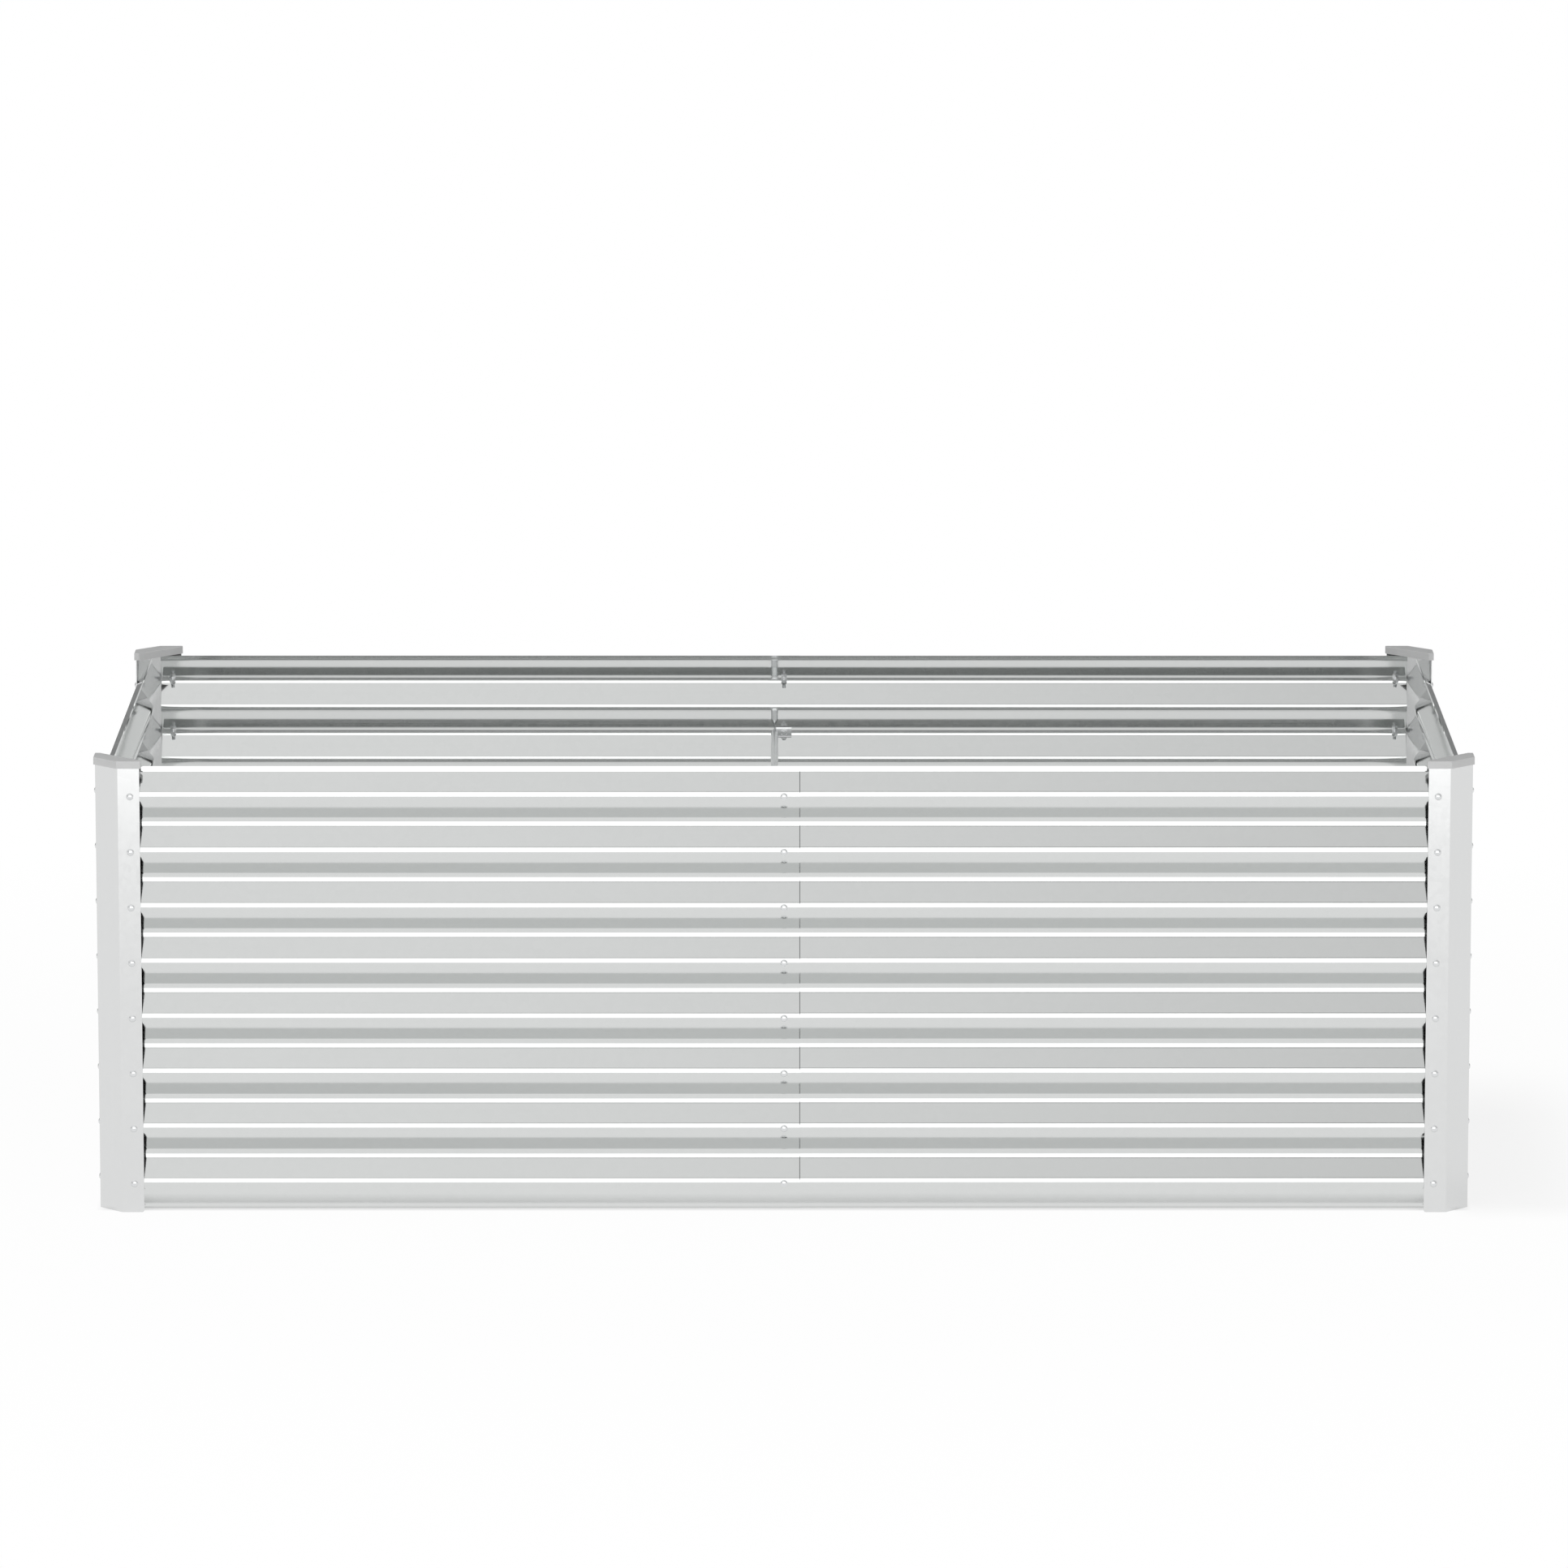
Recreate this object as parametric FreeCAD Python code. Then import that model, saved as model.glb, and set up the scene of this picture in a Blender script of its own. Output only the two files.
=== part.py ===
# Raised garden bed of galvanised corrugated sheet: open at the top and the bottom, with four folded
# corner posts, overlapping wall panels, a cross brace at mid length and a moulded cap on each post.
#
# Millimetres. +X runs along the length, +Y from the front wall to the back wall and +Z up. The origin
# is on the ground, at the middle of the bed.
import FreeCAD
import Part
import math
import os

V = FreeCAD.Vector

# ---- whole bed
bed_length = 1829.0             # over the post flanges, along X
bed_width = 914.0               # over the post flanges, along Y
ground_gap = 1.5                # panels end this far above the ground, the posts stand on it

# ---- corrugated panels
wave_pitch = 75.0               # crest to crest
wave_count = 8                  # waves over the height of the wall
wave_depth = 20.9               # inner crest to outer crest, on the sheet's middle line
wave_radius = 13.0              # of the crests, on the sheet's middle line
panel_thickness = 0.6
panel_end_gap = 1.2             # from the fold line of a post to the end of a panel
panel_post_clearance = 0.05     # between a post flange and the outer crests of a panel
seam_overlap = 43.0             # of the two panels of a long wall
nest_clearance = 0.05           # between the flanks of the two overlapped panels

# ---- corner posts
post_thickness = 1.2
post_fold_distance = 31.3       # from the corner that the 45 degree face cuts off to each fold line
post_flange = 29.4              # width of a flange, from its fold line to its edge
post_bend_radius = 1.4          # inside the folds
post_corner_radius = 3.0        # of the flanges' lower corners
bolt_edge_distance = 12.8       # from the edge of a flange to the middle of its bolts

# ---- post caps
cap_height = 10.0
cap_top = 2.0                   # thickness of the top plate
cap_wall = 1.8                  # of the skirt
cap_rib = 1.4                   # wall inside the slot that grips the post
cap_clearance = 0.2             # each side of the post's sheet in the slot
cap_end_width = 7.0             # of the two narrow ends
cap_panel_gap = 0.5             # from the top edge of the panels to the cap
cap_corner_radius = 1.5         # upright edges
cap_edge_radius = 0.8           # round the top plate

# ---- bolts and nuts
bolt_diameter = 5.0
bolt_length = 12.0              # under the head
bolt_end_chamfer = 0.5
bolt_hole_clearance = 0.3       # all round the shank
head_diameter = 9.4
head_height = 2.7
head_rim = 0.4                  # straight edge below the dome
nut_across_flats = 8.0
nut_height = 4.0
nut_bore_clearance = 0.05       # all round the shank
nut_face_diameter = 7.4         # of the flat left inside the chamfer of a nut
nut_seat_clearance = 0.03       # between a nut or a tab and what it is tightened on

# ---- cross brace
rows_above_brace = 1            # bolts of a seam that are higher than the one that holds the brace
tube_diameter = 10.0
tube_wall = 1.0
tab_gap = 0.3                   # left between the two walls of the flattened end
tab_reach = 10.6                # from the bolt to the end of the tab
tab_root = 10.3                 # from the bolt to the start of the bend
tab_bend_radius = 2.0           # inside the bend
brace_taper = 16.0              # length over which the flat end rounds out to the tube

# ---- for making cuts and finding edges
cut_overshoot = 1.0             # how far a cutting shape runs past an open face
match_tolerance = 0.01

# ---- sizes that follow
panel_height = wave_pitch * wave_count
panel_top = ground_gap + panel_height
cap_bottom = panel_top + cap_panel_gap
post_height = cap_bottom + cap_height - cap_top
post_reach = post_fold_distance + post_flange
bolt_inset = post_reach - bolt_edge_distance
row_heights = [ground_gap + wave_pitch * (row + 0.5) for row in range(wave_count)]
brace_height = row_heights[-1 - rows_above_brace]

# The crest arcs join straight flanks. Two circles of the crest radius, half a pitch apart and set
# in depth, have the flank as their inner tangent: this is its angle to the vertical.
centre_step = wave_depth - 2 * wave_radius
centre_distance = math.hypot(wave_pitch / 2, centre_step)
flank_angle = math.asin(2 * wave_radius / centre_distance) + math.atan2(centre_step, wave_pitch / 2)

# The inner panel of a seam stands in by this much, so that the flanks lie one on the other.
nest_shift = panel_thickness / math.cos(flank_angle) + nest_clearance

# Distances in from the outer face of a post flange.
outer_crest_line = post_thickness + panel_post_clearance
outer_crest_inside = outer_crest_line + panel_thickness


def crest_sag(half_height, edge_radius=0):
    """How far a flat of this half height, laid in the hollow of a crest, stays off its bottom.

    A flat with rounded edges touches the hollow with them.
    """
    reach = wave_radius - panel_thickness / 2 - edge_radius
    return reach - math.sqrt(reach * reach - half_height * half_height)


# The flattened ends of the brace keep the girth of the tube.
tab_thickness = 2 * tube_wall + tab_gap
tab_height = math.pi * (tube_diameter - 2 * tube_wall) / 2 + 2 * tube_wall
tab_sag = crest_sag((tab_height - tab_thickness) / 2, tab_thickness / 2)
tab_seat_depth = outer_crest_inside + nest_shift + tab_sag + nut_seat_clearance


def line(a, b):
    return Part.LineSegment(a, b).toShape()


def polygon_face(points):
    """Face in the XY plane from a list of (x, y) corners."""
    corners = [V(x, y, 0) for x, y in points]
    return Part.Face(Part.makePolygon(corners + corners[:1]))


def prism(face, bottom, top):
    solid = face.extrude(V(0, 0, top - bottom))
    solid.translate(V(0, 0, bottom))
    return solid


def placed(shape, point, outward):
    """Copy of a shape made round the Z axis, with its Z axis along outward and its Y axis upright."""
    up = V(0, 0, 1)
    turn = FreeCAD.Rotation(up.cross(outward), up, outward, "ZYX")
    copy = shape.copy()
    copy.Placement = FreeCAD.Placement(point, turn)
    return copy


def mirrored(shape, in_x, in_y):
    """Shape of the front left corner, taken to another corner of the bed."""
    if in_x:
        shape = shape.mirror(V(0, 0, 0), V(1, 0, 0))
    if in_y:
        shape = shape.mirror(V(0, 0, 0), V(0, 1, 0))
    return shape


def export(shape, node):
    shape.exportStep("parts/" + node + ".step")
    print(node, len(shape.Solids), "solids", round(shape.Volume / 1000, 2), "cm3", shape.isValid())


# ---------------------------------------------------------------- corrugated panels

def wave_side(offset):
    """Edges of one side of the sheet, from the bottom to the top, in the YZ plane.

    Y is the distance in from the middle line of the outer crests, and offset moves the line
    inwards. The sheet starts and ends at the middle of an inner crest.
    """
    edges = []
    outer_radius = wave_radius - offset
    inner_radius = wave_radius + offset
    last = None
    for half_wave in range(2 * wave_count + 1):
        height = ground_gap + half_wave * wave_pitch / 2
        at_inner_crest = half_wave % 2 == 0
        if at_inner_crest:
            centre = V(0, wave_depth - wave_radius, height)
            radius = inner_radius
            side = 1
        else:
            centre = V(0, wave_radius, height)
            radius = outer_radius
            side = -1

        def on_arc(angle):
            return centre + V(0, side * radius * math.cos(angle), radius * math.sin(angle))

        first_angle = 0 if half_wave == 0 else -flank_angle
        last_angle = 0 if half_wave == 2 * wave_count else flank_angle
        start = on_arc(first_angle)
        middle = on_arc((first_angle + last_angle) / 2)
        end = on_arc(last_angle)
        if last is not None:
            edges.append(line(last, start))
        edges.append(Part.Arc(start, middle, end).toShape())
        last = end
    return edges, edges[0].Vertexes[0].Point, last


def corrugated_sheet(start, length, set_in):
    """Sheet along X for the front wall; set_in moves it in from its place behind the posts."""
    outer_edges, outer_start, outer_end = wave_side(-panel_thickness / 2)
    inner_edges, inner_start, inner_end = wave_side(panel_thickness / 2)
    ends = [line(outer_start, inner_start), line(outer_end, inner_end)]
    loop = Part.Wire(Part.__sortEdges__(outer_edges + inner_edges + ends))
    sheet = Part.Face(loop).extrude(V(length, 0, 0))
    middle_line = outer_crest_line + panel_thickness / 2
    sheet.translate(V(start, middle_line + set_in, 0))
    return sheet


def bolt_holes(positions):
    """Drills through the front wall at these X positions, one for each row of bolts."""
    radius = bolt_diameter / 2 + bolt_hole_clearance
    drills = []
    for x in positions:
        for height in row_heights:
            drills.append(Part.makeCylinder(radius, bolt_length, V(x, 0, height), V(0, 1, 0)))
    return Part.makeCompound(drills)


def wall_panel(start, end, set_in, hole_positions):
    """Panel of the front wall, with Y measured in from the outer face of the post flanges."""
    sheet = corrugated_sheet(start, end - start, set_in)
    return sheet.cut(bolt_holes(hole_positions))


def long_wall_panels():
    """Left and right panel of the front wall: the left one laps over the outside of the right."""
    panel_end = bed_length / 2 - post_fold_distance - panel_end_gap
    bolt_line = bed_length / 2 - bolt_inset
    left = wall_panel(-panel_end, seam_overlap / 2, 0, [-bolt_line, 0])
    right = wall_panel(-seam_overlap / 2, panel_end, nest_shift, [0, bolt_line])
    for panel in (left, right):
        panel.translate(V(0, -bed_width / 2, 0))
    return left, right


def end_panel():
    """The one panel of the left end wall."""
    panel_end = bed_width / 2 - post_fold_distance - panel_end_gap
    bolt_line = bed_width / 2 - bolt_inset
    panel = wall_panel(-panel_end, panel_end, 0, [-bolt_line, bolt_line])
    panel.translate(V(0, -bed_length / 2, 0))
    panel.rotate(V(0, 0, 0), V(0, 0, 1), -90)
    return panel


# ---------------------------------------------------------------- corner posts

def post_line(offset, reach):
    """Corners of the post's section, moved in by offset, in the frame of the front left corner.

    X and Y are distances in from the outer faces of the two flanges, which end at reach.
    """
    fold = post_fold_distance + offset * math.tan(math.radians(22.5))
    return [V(reach, offset, 0), V(fold, offset, 0), V(offset, fold, 0), V(offset, reach, 0)]


def rounded_edges(corners, radius):
    """Lines through the corners of an open path, with an arc of this radius at each bend."""
    edges = []
    start = corners[0]
    for before, corner, after in zip(corners, corners[1:], corners[2:]):
        back = (before - corner).normalize()
        forth = (after - corner).normalize()
        half_bend = (math.pi - back.getAngle(forth)) / 2
        setback = radius * math.tan(half_bend)
        arc_start = corner + back * setback
        arc_end = corner + forth * setback
        to_centre = (back + forth).normalize()
        arc_middle = corner + to_centre * (radius / math.cos(half_bend) - radius)
        edges.append(line(start, arc_start))
        edges.append(Part.Arc(arc_start, arc_middle, arc_end).toShape())
        start = arc_end
    edges.append(line(start, corners[-1]))
    return edges


def folded_band(outer_offset, inner_offset, reach):
    """Face of a strip that follows the post's section, between two offsets from its outer side."""
    outer = post_line(outer_offset, reach)
    inner = post_line(inner_offset, reach)
    inside_radius = post_bend_radius + post_thickness
    edges = rounded_edges(outer, inside_radius - outer_offset)
    edges += rounded_edges(inner, inside_radius - inner_offset)
    edges.append(line(outer[0], inner[0]))
    edges.append(line(outer[-1], inner[-1]))
    return Part.Face(Part.Wire(Part.__sortEdges__(edges)))


def to_front_left(shape):
    """Moves a shape from the frame of its corner to the front left corner of the bed."""
    shape.translate(V(-bed_length / 2, -bed_width / 2, 0))
    return shape


def flange_corner(solid, along_x):
    """Rounds the lower outer corner of one flange."""
    def wanted(edge):
        middle = edge.CenterOfMass
        reach = middle.x if along_x else middle.y
        return abs(reach - post_reach) < match_tolerance and abs(middle.z) < match_tolerance
    corner = [edge for edge in solid.Edges if wanted(edge)]
    return solid.makeFillet(post_corner_radius, corner)


def corner_post():
    """Folded sheet: a flange on the long wall, a 45 degree face and a flange on the end wall."""
    post = prism(folded_band(0, post_thickness, post_reach), 0, post_height)
    post = flange_corner(post, True)
    post = flange_corner(post, False)
    radius = bolt_diameter / 2 + bolt_hole_clearance
    drills = []
    for height in row_heights:
        on_wall = V(bolt_inset, -head_height, height)
        on_end = V(-head_height, bolt_inset, height)
        drills.append(Part.makeCylinder(radius, bolt_length, on_wall, V(0, 1, 0)))
        drills.append(Part.makeCylinder(radius, bolt_length, on_end, V(1, 0, 0)))
    return to_front_left(post.cut(Part.makeCompound(drills)))


# ---------------------------------------------------------------- post caps

def cap_outline():
    """Corners of the cap's plan in the frame of its corner: six sides, symmetric about 45 degrees."""
    stand_off = cap_wall + cap_clearance
    fold = post_fold_distance - stand_off * math.tan(math.radians(22.5))
    reach = post_reach + stand_off
    inner = cap_end_width - stand_off
    half = [(fold, -stand_off), (reach, -stand_off), (reach, inner)]
    return half + [(y, x) for x, y in reversed(half)]


def cap_pocket():
    """Corners of the hollow behind the rib, under the top plate."""
    behind_rib = post_thickness + cap_clearance + cap_rib
    fold = post_fold_distance + behind_rib * math.tan(math.radians(22.5))
    reach = post_reach + cap_clearance
    stand_off = cap_wall + cap_clearance
    diagonal = post_reach + cap_end_width - cap_wall * math.sqrt(2)
    half = [(fold, behind_rib), (reach, behind_rib), (reach, diagonal - reach)]
    return half + [(y, x) for x, y in reversed(half)]


def post_cap():
    """Moulded cap that pushes down over the top edge of a post."""
    top = cap_bottom + cap_height
    cap = prism(polygon_face(cap_outline()), cap_bottom, top)
    upright = [e for e in cap.Edges if abs(e.Vertexes[0].Z - e.Vertexes[-1].Z) > cap_height / 2]
    cap = cap.makeFillet(cap_corner_radius, upright)
    rim = [e for e in cap.Edges if e.BoundBox.ZMin > top - match_tolerance]
    cap = cap.makeFillet(cap_edge_radius, rim)
    slot = folded_band(-cap_clearance, post_thickness + cap_clearance, post_reach + cap_clearance)
    cap = cap.cut(prism(slot, cap_bottom - cut_overshoot, post_height))
    cap = cap.cut(prism(polygon_face(cap_pocket()), cap_bottom - cut_overshoot, post_height))
    return to_front_left(cap)


# ---------------------------------------------------------------- bolts and nuts

def domed_bolt():
    """Bolt along the Z axis: its head sits on Z = 0 and its shank runs down from there."""
    radius = head_diameter / 2
    dome = head_height - head_rim
    dome_radius = (radius * radius + dome * dome) / (2 * dome)
    half_angle = math.asin(radius / dome_radius) / 2
    sag = dome_radius * (1 - math.cos(half_angle))
    middle = V(dome_radius * math.sin(half_angle), 0, head_height - sag)
    shank = bolt_diameter / 2
    corners = [V(radius, 0, head_rim), V(radius, 0, 0), V(shank, 0, 0)]
    corners += [V(shank, 0, bolt_end_chamfer - bolt_length), V(shank - bolt_end_chamfer, 0, -bolt_length)]
    corners += [V(0, 0, -bolt_length), V(0, 0, head_height)]
    edges = [Part.Arc(corners[-1], middle, corners[0]).toShape()]
    edges += [line(a, b) for a, b in zip(corners, corners[1:])]
    return Part.Face(Part.Wire(edges)).revolve(V(0, 0, 0), V(0, 0, 1), 360)


def hex_nut():
    """Nut along the Z axis with corners towards +Y and -Y: Z = 0 is the face that is tightened."""
    corner = nut_across_flats / math.sqrt(3)
    angles = [math.radians(90 + 60 * k) for k in range(6)]
    hexagon = [(corner * math.cos(a), corner * math.sin(a)) for a in angles]
    nut = prism(polygon_face(hexagon), -nut_height, 0)
    face = nut_face_diameter / 2
    drop = (corner - face) * math.tan(math.radians(30))
    cone = [V(0, 0, 0), V(face, 0, 0), V(corner, 0, -drop), V(corner, 0, drop - nut_height)]
    cone += [V(face, 0, -nut_height), V(0, 0, -nut_height), V(0, 0, 0)]
    turned = Part.Face(Part.makePolygon(cone)).revolve(V(0, 0, 0), V(0, 0, 1), 360)
    nut = nut.common(turned)
    bore = Part.makeCylinder(bolt_diameter / 2 + nut_bore_clearance, nut_height, V(0, 0, -nut_height))
    return nut.cut(bore)


def fastener_group(shape, across, depth, outward, heights):
    """One copy for each height. across is the place along the wall and depth the distance in."""
    wall = bed_width / 2 if outward.x == 0 else bed_length / 2
    along = V(abs(outward.y), abs(outward.x), 0)
    copies = []
    for height in heights:
        point = along * across + outward * (wall - depth) + V(0, 0, height)
        copies.append(placed(shape, point, outward))
    return Part.makeCompound(copies)


# ---------------------------------------------------------------- cross brace

def stadium(thickness, height):
    """Section of the flattened tube in the XZ plane: four edges, thickness along X."""
    run = (height - thickness) / 2
    half = thickness / 2
    corners = [V(half, 0, -run), V(half, 0, run), V(-half, 0, run), V(-half, 0, -run)]
    over = Part.Arc(corners[1], V(0, 0, height / 2), corners[2]).toShape()
    under = Part.Arc(corners[3], V(0, 0, -height / 2), corners[0]).toShape()
    return Part.Wire([line(corners[0], corners[1]), over, line(corners[2], corners[3]), under])


def round_section(diameter):
    """Circle in the XZ plane, in four arcs that face the four edges of the flattened section."""
    points = []
    for eighth in range(8):
        angle = math.radians(-45 + 45 * eighth)
        points.append(V(math.cos(angle), 0, math.sin(angle)) * (diameter / 2))
    points.append(points[0])
    arcs = [Part.Arc(points[k], points[k + 1], points[k + 2]).toShape() for k in range(0, 8, 2)]
    return Part.Wire(arcs)


def brace_half(flat_thickness, flat_height, diameter, tab_depth):
    """Tab, bend, taper and tube of the front half, each a closed solid; the tube ends at Y = 0.

    The same steps make the outside and the hollow. tab_depth is where the middle of the tab lies.
    """
    bend = tab_bend_radius + tab_thickness / 2
    taper_start = tab_depth - bed_width / 2 + bend
    taper_end = taper_start + brace_taper
    tube_line = -tab_root - bend

    def section(wire, y):
        wire.translate(V(tube_line, y, brace_height))
        return wire

    flat = section(stadium(flat_thickness, flat_height), taper_start)
    circle = section(round_section(diameter), taper_end)
    taper = Part.makeLoft([flat, circle], True, True)
    tube = Part.Face(circle).extrude(V(0, -taper_end, 0))
    bend_line = V(-tab_root, taper_start, 0)
    elbow = Part.Face(flat).revolve(bend_line, V(0, 0, 1), 90)
    tab_section = Part.Face(flat)
    tab_section.rotate(bend_line, V(0, 0, 1), 90)
    tab = tab_section.extrude(V(tab_root + tab_reach, 0, 0))
    return tab, elbow, taper, tube


def cross_brace():
    """Steel tube across the bed, with both ends flattened, bent aside and drilled."""
    outside = (tab_thickness, tab_height, tube_diameter)
    hollow = (tab_gap, tab_height - 2 * tube_wall, tube_diameter - 2 * tube_wall)
    depth = tab_seat_depth + tab_thickness / 2
    halves = []
    for size in (outside, hollow):
        pieces = brace_half(*size, depth)
        halves.append(pieces[0].fuse(list(pieces[1:])))
    half = halves[0].cut(halves[1])
    drill_radius = bolt_diameter / 2 + bolt_hole_clearance
    drill = Part.makeCylinder(drill_radius, bolt_length, V(0, -bed_width / 2, brace_height), V(0, 1, 0))
    half = half.cut(drill)
    return half.fuse(half.mirror(V(0, 0, 0), V(0, 1, 0))).removeSplitter()


# ---------------------------------------------------------------- the bed
os.makedirs("parts", exist_ok=True)

front_left_panel, front_right_panel = long_wall_panels()
export(front_left_panel, "front_panel_left")
export(front_right_panel, "front_panel_right")
export(mirrored(front_left_panel, False, True), "back_panel_left")
export(mirrored(front_right_panel, False, True), "back_panel_right")

left_end = end_panel()
export(left_end, "end_panel_left")
export(mirrored(left_end, True, False), "end_panel_right")

post = corner_post()
cap = post_cap()
for y_name, in_y in (("front", False), ("back", True)):
    for x_name, in_x in (("left", False), ("right", True)):
        export(mirrored(post, in_x, in_y), "corner_post_" + y_name + "_" + x_name)
        export(mirrored(cap, in_x, in_y), "post_cap_" + y_name + "_" + x_name)

bolt = domed_bolt()
nut = hex_nut()
nut_depth = outer_crest_inside + crest_sag(nut_face_diameter / 2) + nut_seat_clearance
brace_rows = [brace_height]
seam_rows = [height for height in row_heights if height != brace_height]

inner_panel_nut_depth = nut_depth + nest_shift
brace_nut_depth = tab_seat_depth + tab_thickness + nut_seat_clearance
wall_bolt_line = bed_length / 2 - bolt_inset
end_bolt_line = bed_width / 2 - bolt_inset

for y_name, y_side in (("front", -1), ("back", 1)):
    wall_out = V(0, y_side, 0)
    for x_name, x_side in (("left", -1), ("right", 1)):
        corner = y_name + "_" + x_name
        end_out = V(x_side, 0, 0)
        across = x_side * wall_bolt_line
        depth = inner_panel_nut_depth if x_side > 0 else nut_depth
        export(fastener_group(bolt, across, 0, wall_out, row_heights), "wall_bolts_" + corner)
        export(fastener_group(nut, across, depth, wall_out, row_heights), "wall_nuts_" + corner)
        across = y_side * end_bolt_line
        export(fastener_group(bolt, across, 0, end_out, row_heights), "end_bolts_" + corner)
        export(fastener_group(nut, across, nut_depth, end_out, row_heights), "end_nuts_" + corner)
    export(fastener_group(bolt, 0, outer_crest_line, wall_out, seam_rows), "seam_bolts_" + y_name)
    export(fastener_group(nut, 0, inner_panel_nut_depth, wall_out, seam_rows), "seam_nuts_" + y_name)
    export(fastener_group(bolt, 0, outer_crest_line, wall_out, brace_rows), "brace_bolt_" + y_name)
    export(fastener_group(nut, 0, brace_nut_depth, wall_out, brace_rows), "brace_nut_" + y_name)

export(cross_brace(), "cross_brace")
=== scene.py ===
# Visual model of a raised garden bed of galvanised corrugated sheet, in metres, around its packed
# construction. +X runs along the length, +Y from the front wall to the back wall and +Z up.
import math

import bmesh
import bpy
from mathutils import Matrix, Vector


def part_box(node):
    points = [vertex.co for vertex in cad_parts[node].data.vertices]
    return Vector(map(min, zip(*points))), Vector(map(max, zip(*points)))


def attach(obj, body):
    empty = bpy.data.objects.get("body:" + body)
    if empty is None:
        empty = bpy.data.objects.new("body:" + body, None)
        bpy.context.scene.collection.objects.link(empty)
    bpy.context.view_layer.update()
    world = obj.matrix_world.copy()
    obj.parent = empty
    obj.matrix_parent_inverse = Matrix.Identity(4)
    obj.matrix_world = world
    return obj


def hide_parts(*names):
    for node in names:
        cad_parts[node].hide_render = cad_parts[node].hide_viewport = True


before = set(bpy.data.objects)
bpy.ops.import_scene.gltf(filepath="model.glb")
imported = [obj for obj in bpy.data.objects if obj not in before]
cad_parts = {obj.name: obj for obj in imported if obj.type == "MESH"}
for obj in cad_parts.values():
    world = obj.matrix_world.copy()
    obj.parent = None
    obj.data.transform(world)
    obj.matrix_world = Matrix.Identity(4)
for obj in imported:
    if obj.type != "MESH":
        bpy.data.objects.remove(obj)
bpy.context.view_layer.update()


# ------------------------------------------------------------------ the studio
# The empty bed stands on a wide white floor, which fills the picture. A tall softbox in front draws
# the bright lines on the crests, and a glowing cloth overhead lights the slopes, more from the left.
# The floor's finish paints a soft shadow to the right of the bed, over its cast one, and shade inside it.

class Signal:
    """A value inside a finish. Sums on it add the Math nodes that work them out."""

    def __init__(self, finish, socket):
        self.finish = finish
        self.socket = socket

    def math(self, operation, first, second):
        return self.finish.node("ShaderNodeMath", {"operation": operation}, {0: first, 1: second})

    def __add__(self, other):
        return self.math("ADD", self, other)

    def __sub__(self, other):
        return self.math("SUBTRACT", self, other)

    def __rsub__(self, other):
        return self.math("SUBTRACT", other, self)

    def __mul__(self, other):
        return self.math("MULTIPLY", self, other)

    __radd__ = __add__
    __rmul__ = __mul__


class Finish:
    """A material or the world's background, made of nodes."""

    def __init__(self, name, owner=None):
        self.material = owner or bpy.data.materials.new(name)
        self.material.use_nodes = True
        self.tree = self.material.node_tree
        self.tree.nodes.clear()
        self.end = "ShaderNodeOutputWorld" if owner else "ShaderNodeOutputMaterial"

    def node(self, kind, settings=None, sockets=None, out=0):
        """Adds a node: its settings first, then the values or links of its sockets."""
        made = self.tree.nodes.new(kind)
        for name, value in (settings or {}).items():
            setattr(made, name, value)
        for name, value in (sockets or {}).items():
            socket = made.inputs[name]
            if isinstance(value, Signal):
                self.tree.links.new(value.socket, socket)
            else:
                socket.default_value = value
        return Signal(self, made.outputs[out])

    def coordinate(self, axis):
        """X, Y or Z in the object's own coordinates."""
        place = self.node("ShaderNodeTexCoord", {}, {}, "Object")
        return self.node("ShaderNodeSeparateXYZ", {}, {"Vector": place}, axis)

    def blend(self, share, first, second):
        """A colour from the first, at a share of 0, to the second, at 1."""
        # A Mix node's colour sockets share their names, so they go by number.
        return self.node("ShaderNodeMix", {"data_type": "RGBA"}, {0: share, 6: first, 7: second}, 2)

    def patch(self, edges, fade="SMOOTHSTEP"):
        """1 on a patch of a card or of the floor, and 0 off it.

        Each edge gives an axis and two places along it: where the patch ends and where it is full.
        """
        on_patch = 1.0
        for axis, end, full in edges:
            on_patch = self.node("ShaderNodeMapRange", {"interpolation_type": fade}, {
                "Value": self.coordinate(axis), "From Min": end, "From Max": full}) * on_patch
        return on_patch

    def surface(self, signal):
        """Ends the finish with its surface, and gives the material."""
        end = self.tree.nodes.new(self.end)
        self.tree.links.new(signal.socket, end.inputs["Surface"])
        return self.material


def softbox(name, place, target, width, height, radiance):
    """A soft rectangular lamp that the camera doesn't see. radiance is how bright its face is."""
    lamp = bpy.data.lights.new(name, "AREA")
    lamp.shape = "RECTANGLE"
    lamp.size = width
    lamp.size_y = height
    lamp.energy = radiance * math.pi * width * height
    holder = bpy.data.objects.new(name, lamp)
    holder.location = place
    holder.rotation_euler = (Vector(target) - Vector(place)).to_track_quat("-Z", "Y").to_euler()
    holder.visible_camera = False
    bpy.context.scene.collection.objects.link(holder)


def unseen_card(name, width, height, place, turn, material):
    """A flat card that the camera doesn't see. Metal and the floor do."""
    bpy.ops.mesh.primitive_plane_add(size=1)
    card = bpy.context.object
    card.name = name
    card.scale = (width, height, 1)
    card.rotation_euler = turn
    bpy.ops.object.transform_apply(location=False, rotation=True, scale=True)
    card.location = place
    card.visible_camera = False
    card.data.materials.append(material)


front_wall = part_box("corner_post_front_left")[0].y
front_box_distance = 3.0
front_box_width = 6.0
front_box_low = 0.08
front_box_high = 3.3
front_box_radiance = 0.9
front_box_middle = Vector((0, front_wall - front_box_distance, (front_box_low + front_box_high) / 2))
softbox("front_softbox", front_box_middle, front_box_middle + Vector((0, 1, 0)),
        front_box_width, front_box_high - front_box_low, front_box_radiance)

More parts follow.
